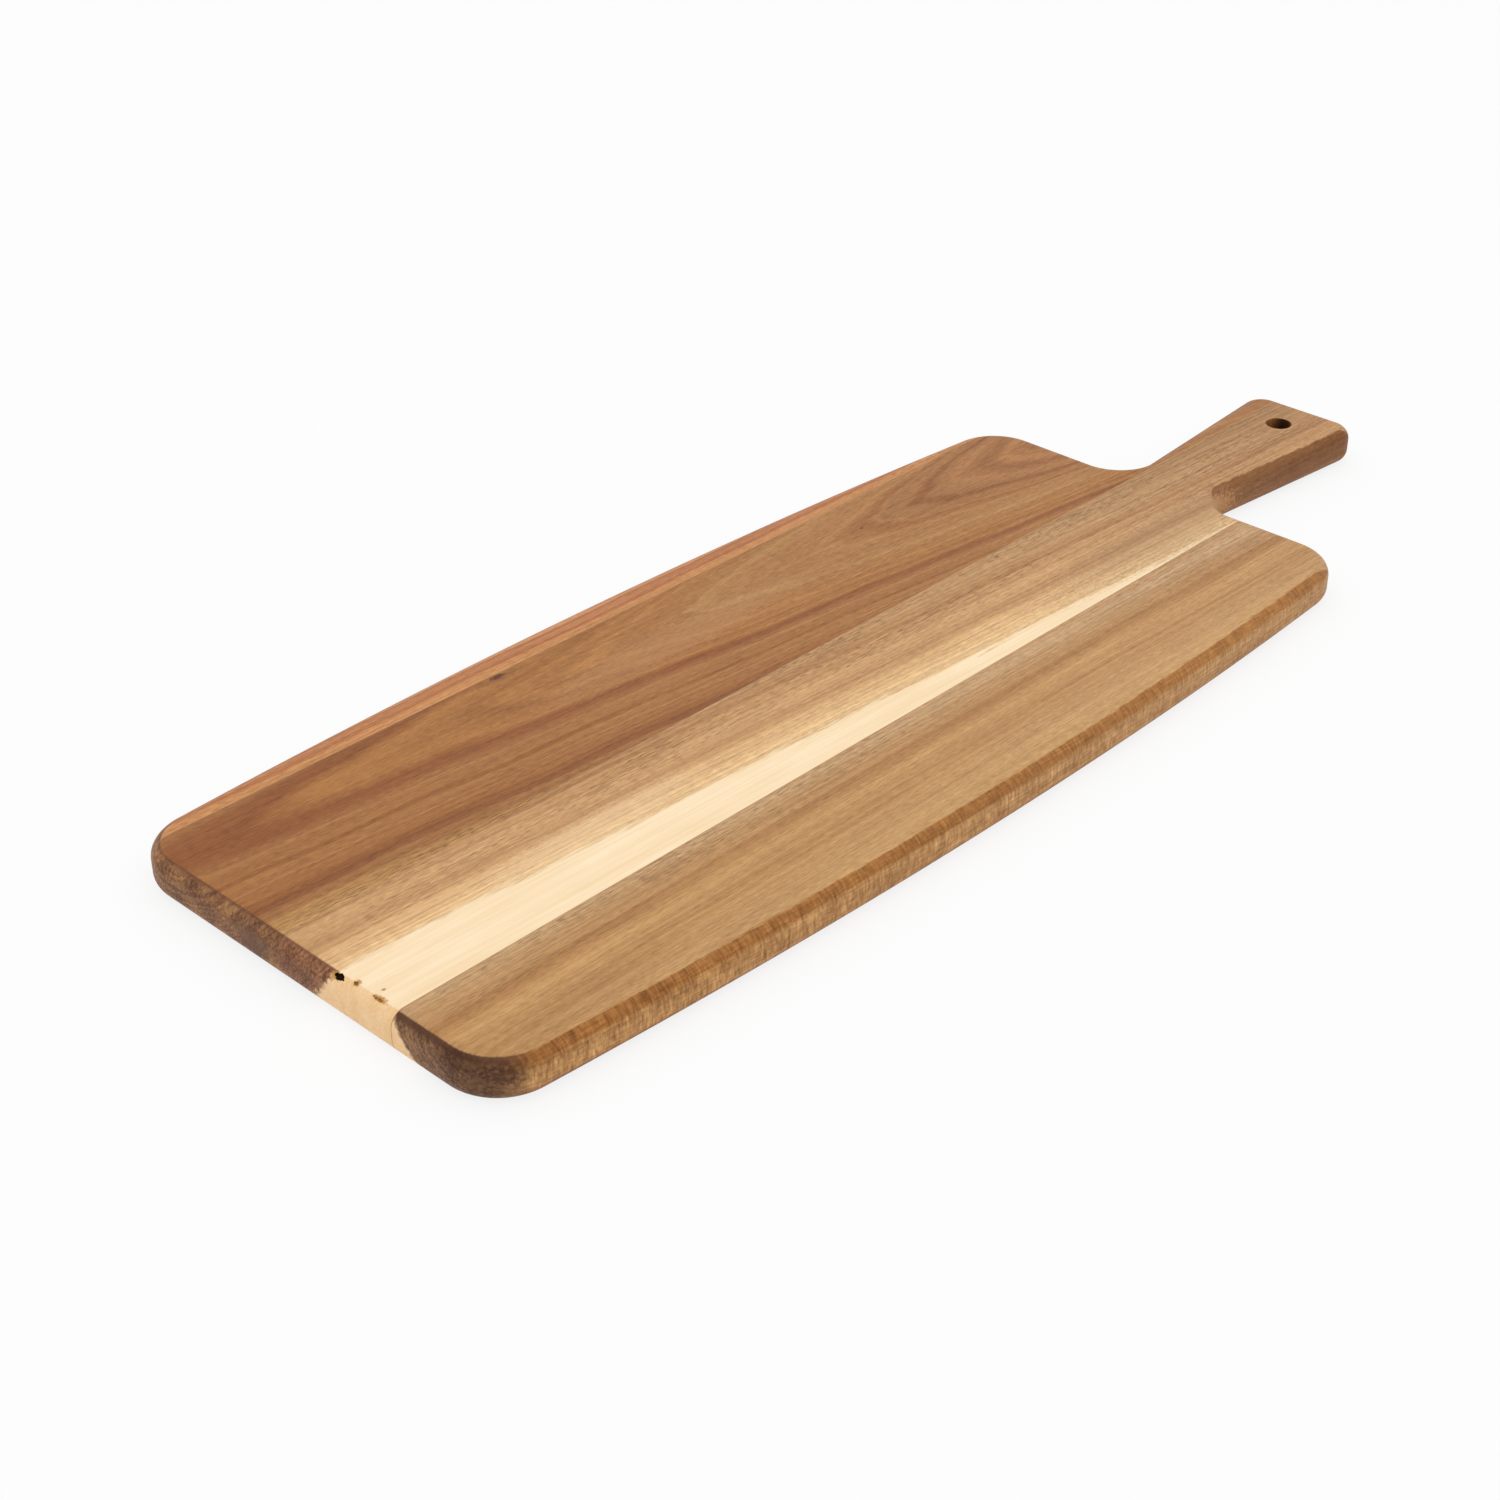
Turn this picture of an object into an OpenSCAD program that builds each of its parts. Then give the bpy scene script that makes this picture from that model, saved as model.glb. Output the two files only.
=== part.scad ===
// Paddle serving board: one flat panel edge-glued from acacia staves, sawn to a paddle
// outline, with rounded edges all round and a plain hanging hole through the handle.
// Millimetres. The board lies flat with +Z up and +X from the square end to the handle tip.
// The origin is on the underside, at the middle of the overall length and width.

/* [Blade] */
// Length of the blade, from the square end to the shoulders
blade_length = 431; // [300:1:600]
// Width of the blade at mid-length, where the bowed sides are widest
blade_width = 190; // [150:1:260]
// How far each long side bows out past a straight line between its ends
side_bow = 8.7; // [3:0.1:20]
// Radius of the four blade corners, seen from above
corner_radius = 21; // [10:0.5:35]

/* [Handle] */
// Length of the handle, from the shoulders to the tip
handle_length = 104.5; // [80:0.5:180]
// Width of the handle where its sides would meet the shoulders
handle_root_width = 34.3; // [26:0.1:44]
// Width of the handle where its sides would meet the tip
handle_tip_width = 52; // [36:0.5:66]
// Radius of the hollow fillet between each shoulder and the handle
root_fillet = 15.4; // [6:0.1:24]
// Radius of the two tip corners, seen from above
tip_radius = 9.4; // [8:0.1:16]
// Diameter of the hanging hole
hole_diameter = 10; // [5:0.5:16]
// Distance of the hanging hole's centre from the tip
hole_from_tip = 21.6; // [16:0.1:40]

/* [Panel] */
// Thickness of the board
thickness = 15; // [12:0.5:24]
// Radius of the round-over along the top and bottom edges
edge_round = 5.3; // [1:0.1:5.8]

/* [Staves] */
// Width of the far edge stave at mid-length, in from the widest part of that side
far_stave_width = 14; // [9:0.5:24]
// Reach of the handle stave to the far side of the centre line, at mid-length
handle_stave_far = 11.5; // [9:0.5:13]
// Reach of the handle stave to the near side of the centre line, at mid-length
handle_stave_near = 41; // [38:0.5:48]
// Angle in degrees between the staves and the board's centre line
stave_skew = 0.55; // [0:0.05:1]
// Thickness of each glue line
glue_thickness = 0.2; // [0.1:0.05:0.3]

/* [Hidden] */

// Widest angle that one straight step of an arc covers, seen from above
arc_step = 10;
// Straight steps along each bowed side
bow_steps = 12;
// Straight steps around each quarter round-over
round_steps = 4;
// Overshoot of cutting shapes past the surfaces that they cut
overshoot = 5;

overall_length = blade_length + handle_length;
half_width = blade_width / 2;

// Each bowed side is one arc about a centre on the blade's cross axis
bow_radius = (side_bow ^ 2 + (blade_length / 2) ^ 2) / (2 * side_bow);
bow_centre = [blade_length / 2, half_width - bow_radius];

// The blade corners touch the end lines and run smoothly into the bowed side
corner_y = bow_centre.y
    + sqrt((bow_radius - corner_radius) ^ 2 - (blade_length / 2 - corner_radius) ^ 2);
bow_start = atan2(corner_y - bow_centre.y, corner_radius - bow_centre.x);

// The handle's straight sides flare from the root to the tip
flare = atan2((handle_tip_width - handle_root_width) / 2, handle_length);
root_centre = [
    blade_length + root_fillet,
    handle_root_width / 2 + root_fillet * (1 + sin(flare)) / cos(flare)
];
tip_centre = [
    overall_length - tip_radius,
    handle_root_width / 2
        + ((handle_length - tip_radius) * sin(flare) - tip_radius) / cos(flare)
];
hole_x = overall_length / 2 - hole_from_tip;

// Centre of each glue line, across the staves
far_line = half_width - far_stave_width;
middle_line = handle_stave_far;
near_line = -handle_stave_near;

// Points of an arc about a centre, both ends included
function arc(centre, radius, from, to) =
    let (steps = ceil(abs(to - from) / arc_step))
    [for (i = [0 : steps])
        let (angle = from + (to - from) * i / steps)
        centre + radius * [cos(angle), sin(angle)]];

// Points between the ends of a bowed side, which the corner arcs already hold
function bowed_side(inset) =
    [for (i = [1 : bow_steps - 1])
        let (angle = bow_start + (180 - 2 * bow_start) * i / bow_steps)
        bow_centre + (bow_radius - inset) * [cos(angle), sin(angle)]];

// The far half of the paddle outline from the square end to the tip, moved in by an inset
function half_outline(inset) = concat(
    arc([corner_radius, corner_y], corner_radius - inset, 180, bow_start),
    bowed_side(inset),
    arc([blade_length - corner_radius, corner_y], corner_radius - inset, 180 - bow_start, 0),
    arc(root_centre, root_fillet + inset, 180, 270 + flare),
    arc(tip_centre, tip_radius - inset, 90 + flare, 0)
);

// The whole outline, with the near half as the mirror image of the far one
function outline(inset) =
    let (half = half_outline(inset), last = len(half) - 1)
    concat(half, [for (i = [last : -1 : 0]) [half[i].x, -half[i].y]]);

// Inset and height of a point on the lower round-over, from the underside to the upright edge
function round_over(step) =
    let (angle = 90 * step / round_steps)
    [edge_round * (1 - sin(angle)), edge_round * (1 - cos(angle))];

// The edge profile up to mid-height, whose first straight step runs on through the underside
lower_profile = concat(
    [2 * round_over(0) - round_over(1)],
    [for (step = [1 : round_steps]) round_over(step)]
);
edge_profile = concat(
    lower_profile,
    [for (i = [round_steps : -1 : 0]) [lower_profile[i][0], thickness - lower_profile[i][1]]]
);

// The outline lofted through the edge profile, a little past the underside and the top
module panel() {
    ring_size = len(outline(0));
    top_ring = len(edge_profile) - 1;
    points = [for (ring = edge_profile, p = outline(ring[0])) [p.x, p.y, ring[1]]];
    walls = [for (ring = [0 : top_ring - 1], i = [0 : ring_size - 1])
        let (j = (i + 1) % ring_size, low = ring * ring_size, high = low + ring_size)
        [low + i, low + j, high + j, high + i]];
    underside = [for (i = [ring_size - 1 : -1 : 0]) i];
    top = [for (i = [0 : ring_size - 1]) top_ring * ring_size + i];
    translate([-overall_length / 2, 0, 0])
        polyhedron(points, concat([underside], walls, [top]), convexity = 6);
}

// The part of the panel between two lines along the staves, planed to the thickness
module strip(near_side, far_side) {
    intersection() {
        panel();
        rotate(stave_skew)
            translate([-overall_length, near_side, 0])
                cube([2 * overall_length, far_side - near_side, thickness]);
    }
}

// A glue line fills the gap between two staves, flush with their faces
module glue_line(line) {
    strip(line - glue_thickness / 2, line + glue_thickness / 2);
}

module far_edge_stave() {
    color("#c07c46")
        strip(far_line + glue_thickness / 2, half_width + overshoot);
}

module wide_stave() {
    color("#9c6b43")
        strip(middle_line + glue_thickness / 2, far_line - glue_thickness / 2);
}

module handle_stave() {
    color("#c59c6c")
        difference() {
            strip(near_line + glue_thickness / 2, middle_line - glue_thickness / 2);
            translate([hole_x, 0, -overshoot])
                cylinder(h = thickness + 2 * overshoot, d = hole_diameter, $fn = 64);
        }
}

module near_edge_stave() {
    color("#b28a58")
        strip(-half_width - overshoot, near_line - glue_thickness / 2);
}

module far_glue_line() {
    color("#7a5636")
        glue_line(far_line);
}

module middle_glue_line() {
    color("#7a5636")
        glue_line(middle_line);
}

module near_glue_line() {
    color("#7a5636")
        glue_line(near_line);
}

far_edge_stave();
wide_stave();
handle_stave();
near_edge_stave();
far_glue_line();
middle_glue_line();
near_glue_line();
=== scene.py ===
"""Dresses the paddle board: four oiled acacia staves, edge-glued and cut to one paddle outline.

Every size is in millimetres until a mesh is handed over, and then in metres. The frame's X runs from the
square end to the handle's tip, Y from the golden edge stave to the red-brown one, and Z up from the table.
"""

import logging
import math
from collections.abc import Iterable, Mapping, Sequence
from dataclasses import dataclass
from enum import Enum
from typing import Any, ClassVar

import bmesh
import bpy
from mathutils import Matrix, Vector, noise


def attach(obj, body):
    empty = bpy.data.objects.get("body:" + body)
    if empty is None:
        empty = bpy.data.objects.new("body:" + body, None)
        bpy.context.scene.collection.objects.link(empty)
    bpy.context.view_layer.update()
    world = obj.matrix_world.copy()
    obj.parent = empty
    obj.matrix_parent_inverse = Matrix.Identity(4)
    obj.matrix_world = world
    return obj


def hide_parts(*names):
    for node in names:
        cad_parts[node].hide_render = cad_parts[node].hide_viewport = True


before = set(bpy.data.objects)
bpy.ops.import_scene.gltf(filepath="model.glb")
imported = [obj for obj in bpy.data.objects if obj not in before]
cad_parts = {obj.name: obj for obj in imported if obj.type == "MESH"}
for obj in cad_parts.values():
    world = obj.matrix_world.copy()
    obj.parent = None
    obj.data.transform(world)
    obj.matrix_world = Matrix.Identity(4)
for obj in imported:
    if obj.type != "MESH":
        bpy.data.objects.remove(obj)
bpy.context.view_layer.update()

log = logging.getLogger("paddle_board")

Point = tuple[float, float]
Span = tuple[float, float]
Place = tuple[float, float, float]
Colour = tuple[float, float, float, float]
Stops = list[tuple[float, Colour]]
Piece = bpy.types.Object
Tree = bpy.types.NodeTree
Socket = bpy.types.NodeSocket
Feeds = Sequence[object] | Mapping[str | int, object]

# One millimetre in metres
MM = 0.001
WHITE: Colour = (1.0, 1.0, 1.0, 1.0)

# Typical values, for wood with oil in its skin and for glue that has set hard
OILED_WOOD_IOR = 1.46
DRIED_GLUE_IOR = 1.48

# Nearly all of a noise's values lie in this span, and each finer octave has this share of the last one
NOISE_SPAN: Span = (0.3, 0.7)
OCTAVE_SHARE = 0.6

# The Mix node counts the sockets of all its data types in one row, and these are the ones for colours
SHARE, UNDER, OVER = 0, 6, 7
IN_COLOUR: dict[str, Any] = {"out": 2, "data_type": "RGBA"}
SMOOTH: dict[str, Any] = {"interpolation_type": "SMOOTHSTEP"}


class Slot(Enum):
    """The record's material slots."""

    RED_BROWN = "acacia_red_brown"
    DARK_BROWN = "acacia_dark_brown"
    WITH_SAPWOOD = "acacia_with_sapwood"
    GOLDEN_BROWN = "acacia_golden_brown"
    GLUE = "wood_glue"


def linear(hex_colour: str) -> Colour:
    """Turns an sRGB colour into the linear one that a shader takes.

    Args:
        hex_colour: The colour as written on screen, such as "#a87850".

    Returns:
        Linear red, green and blue, and a full alpha.
    """
    parts = [int(hex_colour[start:start + 2], 16) / 255 for start in (1, 3, 5)]
    red, green, blue = [p / 12.92 if p <= 0.04045 else ((p + 0.055) / 1.055) ** 2.4 for p in parts]
    return (red, green, blue, 1.0)


def add(
    tree: Tree,
    kind: str,
    feeds: Feeds = (),
    out: int | str = 0,
    stops: Iterable[tuple[float, Colour]] = (),
    **settings: object,
) -> Socket:
    """Adds one node, with its settings and links.

    Args:
        tree: The node tree that gets it.
        kind: Its type, without the ShaderNode that all of them start with.
        feeds: What each input takes, in order or by name: a socket or a value.
        out: The output that is wanted.
        stops: Positions and colours, where the node is a colour ramp.
        settings: The node's own options.

    Returns:
        The output that was asked for.
    """
    node = tree.nodes.new("ShaderNode" + kind)
    for name, value in settings.items():
        setattr(node, name, value)
    for number, (position, colour) in enumerate(stops):
        elements = node.color_ramp.elements
        if number == 0:
            elements.remove(elements[-1])
            elements[0].position = position
        element = elements[0] if number == 0 else elements.new(position)
        element.color = colour
    pairs = feeds.items() if isinstance(feeds, Mapping) else enumerate(feeds)
    for key, feed in pairs:
        if isinstance(feed, Socket):
            tree.links.new(feed, node.inputs[key])
        else:
            node.inputs[key].default_value = feed
    return node.outputs[out]


def ramp(colours: Sequence[str], span: Span = (0.0, 1.0)) -> Stops:
    """Stops for a colour ramp, evenly spread.

    Args:
        colours: The sRGB colours, in order.
        span: Where on the ramp the first and the last of them lie.

    Returns:
        Each stop's position and its linear colour.
    """
    first, last = span
    gap = (last - first) / (len(colours) - 1)
    return [(first + gap * number, linear(colour)) for number, colour in enumerate(colours)]


def facing_ends(tree: Tree) -> Socket:
    """How squarely a surface faces along the board, where the end grain is.

    Args:
        tree: The material's node tree.

    Returns:
        0 on the faces and long sides, and 1 on the ends.
    """
    facing = add(tree, "NewGeometry", out="Normal")
    along = add(tree, "SeparateXYZ", (facing,), out="X")
    return add(tree, "Math", (along,), operation="ABSOLUTE")


def new_material(name: str) -> tuple[bpy.types.Material, Tree]:
    """Makes a material with an empty node tree.

    Args:
        name: The material's name.

    Returns:
        The material and its node tree.
    """
    material = bpy.data.materials.new(name)
    material.use_nodes = True
    material.node_tree.nodes.clear()
    return material, material.node_tree


def end_tree(tree: Tree, shader: Socket, kind: str = "ShaderNodeOutputMaterial") -> None:
    """Ends a node tree in its output."""
    tree.links.new(shader, tree.nodes.new(kind).inputs["Surface"])


@dataclass(frozen=True)
class Skin:
    """How a surface takes the light: how much of it it mirrors, and how deep its relief is in mm."""

    ior: float
    relief_strength: float
    relief_height: float
    gloss: float = 0.5

    def close(self, tree: Tree, colour: Socket, rough: Socket, height: Socket) -> None:
        """Ends a material's node tree in its shader.

        Args:
            tree: The material's node tree.
            colour: The surface's colour.
            rough: Its roughness.
            height: Its relief, as a share of the full height.
        """
        relief = {"Strength": self.relief_strength, "Distance": self.relief_height * MM, "Height": height}
        looks = {"Base Color": colour, "Roughness": rough, "Normal": add(tree, "Bump", relief)}
        looks |= {"IOR": self.ior, "Specular IOR Level": self.gloss}
        end_tree(tree, add(tree, "BsdfPrincipled", looks))


@dataclass(frozen=True)
class PaddleOutline:
    """The paddle's outline seen from above, in mm from the middle of its box."""

    blade_length: float = 431.0
    blade_width: float = 190.0
    side_bow: float = 8.7
    corner_radius: float = 21.0
    handle_length: float = 104.5
    handle_root_width: float = 34.3
    handle_tip_width: float = 52.0
    root_fillet: float = 15.4
    tip_radius: float = 9.4
    arc_step: float = 3.0
    bow_steps: int = 48
    end_steps: int = 36

    @property
    def overall_length(self) -> float:
        """Length from the square end to the handle's tip."""
        return self.blade_length + self.handle_length

    def arc(self, centre: Point, radius: float, start: float, end: float, steps: int = 0) -> list[Point]:
        """Points along an arc.

        Args:
            centre: The arc's centre.
            radius: Its radius.
            start: First angle in degrees.
            end: Last angle in degrees.
            steps: How many chords, or 0 to take one every arc_step degrees.

        Returns:
            The points, both ends included.
        """
        chords = steps or math.ceil(abs(end - start) / self.arc_step)
        angles = [math.radians(start + (end - start) * chord / chords) for chord in range(chords + 1)]
        return [(centre[0] + radius * math.cos(a), centre[1] + radius * math.sin(a)) for a in angles]

    def far_half(self, inset: float) -> list[Point]:
        """The half of the outline on the +Y side, drawn in by an inset.

        Args:
            inset: How far every edge lies inside the full outline.

        Returns:
            Points from the middle of the square end to the handle's tip, in mm from the square end.
        """
        half_length = self.blade_length / 2
        bow_radius = (self.side_bow**2 + half_length**2) / (2 * self.side_bow)
        bow_y = self.blade_width / 2 - bow_radius
        corner = self.corner_radius
        corner_rise = math.sqrt((bow_radius - corner) ** 2 - (half_length - corner) ** 2)
        bow_start = math.degrees(math.atan2(corner_rise, corner - half_length))
        bow_end = 180 - bow_start
        flare = math.atan2((self.handle_tip_width - self.handle_root_width) / 2, self.handle_length)
        root_y = self.handle_root_width / 2 + self.root_fillet * (1 + math.sin(flare)) / math.cos(flare)
        to_tip = self.handle_length - self.tip_radius
        tip_rise = (to_tip * math.sin(flare) - self.tip_radius) / math.cos(flare)
        tip_y = self.handle_root_width / 2 + tip_rise
        flare_degrees = math.degrees(flare)
        corner_y = bow_y + corner_rise
        far_corner_x = self.blade_length - corner
        root = (self.blade_length + self.root_fillet, root_y)
        tip = (self.overall_length - self.tip_radius, tip_y)
        square_end = [(inset, corner_y * (step + 0.5) / self.end_steps) for step in range(self.end_steps)]
        near_corner = self.arc((corner, corner_y), corner - inset, 180, bow_start)
        side = self.arc((half_length, bow_y), bow_radius - inset, bow_start, bow_end, self.bow_steps)
        far_corner = self.arc((far_corner_x, corner_y), corner - inset, bow_end, 0)
        root_arc = self.arc(root, self.root_fillet + inset, 180, 270 + flare_degrees)
        tip_arc = self.arc(tip, self.tip_radius - inset, 90 + flare_degrees, 0)
        return square_end + near_corner + side[1:-1] + far_corner + root_arc + tip_arc

    def ring(self, inset: float) -> list[Point]:
        """The whole outline, drawn in by an inset.

        Args:
            inset: How far every edge lies inside the full outline.

        Returns:
            Points all the way round, in mm from the middle of the outline's box.
        """
        middle = self.overall_length / 2
        half = [(x - middle, y) for x, y in self.far_half(inset)]
        return half + [(x, -y) for x, y in reversed(half)]


def skin_rings(mesh: bmesh.types.BMesh, rings: Sequence[Sequence[Place]]) -> None:
    """Skins a stack of rings with smooth walls, and closes it with two flat faces.

    Args:
        mesh: The mesh that gets the skin.
        rings: Rings of the same number of points, from one end of the stack to the other.
    """
    made = [[mesh.verts.new(point) for point in ring] for ring in rings]
    for lower, upper in zip(made, made[1:]):
        for corner in range(len(lower)):
            wall = (lower[corner - 1], lower[corner], upper[corner], upper[corner - 1])
            mesh.faces.new(wall).smooth = True
    mesh.faces.new(made[0])
    mesh.faces.new(made[-1])
    bmesh.ops.recalc_face_normals(mesh, faces=mesh.faces)


@dataclass(frozen=True)
class PaddlePanel:
    """The glued-up panel: the outline lofted through its round-overs, and how its glue planes run."""

    outline: PaddleOutline = PaddleOutline()
    thickness: float = 15.0
    edge_round: float = 5.3
    round_steps: int = 12
    glue_skew: float = math.radians(0.55)

    def section(self) -> list[Point]:
        """Inset and height of each ring of the loft, from the underside to the serving face."""
        angles = [math.pi / 2 * step / self.round_steps for step in range(self.round_steps + 1)]
        lower = [(self.edge_round * (1 - math.sin(a)), self.edge_round * (1 - math.cos(a))) for a in angles]
        upper = [(inset, self.thickness - height) for inset, height in reversed(lower)]
        return lower + upper

    def strip(self, near_side: float | None, far_side: float | None) -> bmesh.types.BMesh:
        """Cuts the panel down to the strip between two glue planes.

        Args:
            near_side: The plane on the -Y side, in mm from the middle, or None for the panel's own edge.
            far_side: The plane on the +Y side, or None for the panel's own edge.

        Returns:
            A closed mesh in mm.
        """
        mesh = bmesh.new()
        skin_rings(mesh, [[(x, y, z) for x, y in self.outline.ring(inset)] for inset, z in self.section()])
        across = Vector((-math.sin(self.glue_skew), math.cos(self.glue_skew), 0))
        for place, keeps_far in ((near_side, True), (far_side, False)):
            if place is None:
                continue
            everything = [*mesh.verts, *mesh.edges, *mesh.faces]
            bmesh.ops.bisect_plane(
                mesh, geom=everything, plane_co=across * place, plane_no=across,
                clear_inner=keeps_far, clear_outer=not keeps_far,
            )
            rim = [edge for edge in mesh.edges if edge.is_boundary]
            bmesh.ops.edgeloop_fill(mesh, edges=rim)
            for edge in rim:
                edge.smooth = False
        bmesh.ops.recalc_face_normals(mesh, faces=mesh.faces)
        return mesh


def hand_over(mesh: bmesh.types.BMesh, name: str) -> Piece:
    """Turns a mesh in mm into an object in metres, in the scene.

    Args:
        mesh: The mesh, which is freed.
        name: The object's name.

    Returns:
        The object.
    """
    bmesh.ops.scale(mesh, vec=(MM,) * 3, verts=mesh.verts)
    data = bpy.data.meshes.new(name)
    mesh.to_mesh(data)
    mesh.free()
    piece = bpy.data.objects.new(name, data)
    bpy.context.scene.collection.objects.link(piece)
    return piece


def cut_away(piece: Piece, cutter: Piece) -> None:
    """Cuts one object out of another, and removes the cutter, whose material lines the cut.

    Args:
        piece: The object that is cut.
        cutter: The shape that is taken out of it.
    """
    cut = piece.modifiers.new("cut", "BOOLEAN")
    cut.operation = "DIFFERENCE"
    cut.solver = "EXACT"
    cut.material_mode = "TRANSFER"
    cut.object = cutter
    evaluated = piece.evaluated_get(bpy.context.evaluated_depsgraph_get())
    cut_mesh = bpy.data.meshes.new_from_object(evaluated)
    piece.modifiers.clear()
    piece.data = cut_mesh
    bpy.data.objects.remove(cutter)


@dataclass(frozen=True)
class GrowthLayers:
    """How the tree's growth layers lie in one stave: cones about a heart that may lie outside it.

    The colours go with the distance in mm from the heart, at the square end.
    """

    heart_y: float
    heart_z: float
    taper: float
    colours: tuple[tuple[float, str], ...]
    drift: float = 0.0
    taper_gain: float = 0.0
    middle: float = 215.0

    @property
    def reach(self) -> Span:
        """The first and the last layer that has a colour."""
        return self.colours[0][0], self.colours[-1][0]

    def stops(self) -> Stops:
        """Ramp stops for the colours, spread over the layers that they cover."""
        first, last = self.reach
        return [((layer - first) / (last - first), linear(colour)) for layer, colour in self.colours]


@dataclass(frozen=True)
class Sapwood:
    """The pale outer wood of the tree, past a given growth layer, which retreats along the board.

    Its edge feathers into the heartwood along the fibres, and clouds of two tones lie in it.
    """

    starts: float
    retreat: float
    feather: float
    softness: float
    feather_size: Place = (18.0, 1.3, 1.3)
    cloud_size: Place = (50.0, 5.0, 5.0)
    cloud_span: Span = (0.7, 1.3)
    tones: tuple[str, str] = ("#f6d8ab", "#ffe9c6")
    end_tones: tuple[str, str] = ("#ebbf88", "#f8d4a6")


@dataclass(frozen=True)
class EdgeFigure:
    """What the wood shows where it turns away from the serving face.

    The tints are laid over the face's colour on the round-over and on the upright side, partly as the side
    grain's own tone and partly as painted shade where the surface turns from the light. The bars are wavy
    grain seen edge-on: broad ones and narrow ones, with glints, which are painted highlights. Scorch is the
    dark start of the end grain, as far as a share of its turn, and the end tones are the mottle of rings,
    speckle and blotches past it. A ragged edge is one where the face's fibres run out into the side. A turn
    is 0 on the face and 1 on an upright side. A heading is 0 on a long side and 1 on an end.
    """

    # Tints of the round-over and the upright side: partly the side grain's own tone, partly painted shade
    # where the surface turns from the light
    round_tint_and_shade: str
    side_tint_and_shade: str
    bars: float
    scorch: str
    scorch_reach: float
    end_tones: tuple[str, str, str]
    ragged: float = 0.06
    end_ragged: float = 0.03
    ragged_size: Place = (4.0, 1.5, 3.0)
    rim_turn: Span = (0.30, 0.42)
    upright_turn: Span = (0.86, 1.0)
    end_heading: Span = (0.02, 0.80)
    handle_heading: Span = (0.1, 0.6)
    handle_thirst: float = 0.35
    handle_delay: float = 0.62
    broad_size: Place = (6.0, 40.0, 9.0)
    narrow_size: Place = (1.2, 30.0, 4.0)
    # Glints are painted highlights on the upright side
    glint_size: Place = (1.6, 30.0, 12.0)
    glint_span: Span = (0.58, 0.72)
    bar_strengths: Place = (1.2, 2.4, 0.6)
    bar_level: float = -1.9
    bar_steepness: Span = (1.4, 0.85)
    steep_length: float = 300.0
    darkest_bar: float = 0.2
    mottle_strengths: Place = (0.35, 0.95, 0.7)
    mottle_span: Span = (0.78, 1.22)
    scorch_fade: float = 0.25
    least_mottle: float = 0.1


@dataclass(frozen=True)
class Spot:
    """A mark in the wood with a ragged edge, such as a pin knot, an oil stain or a broad pale patch."""

    place: Place
    reach: Place
    colour: str
    strength: float
    ragged: float = 1.2
    ragged_per_mm: float = 0.9
    fade: Span = (1.6, 1.0)


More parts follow.
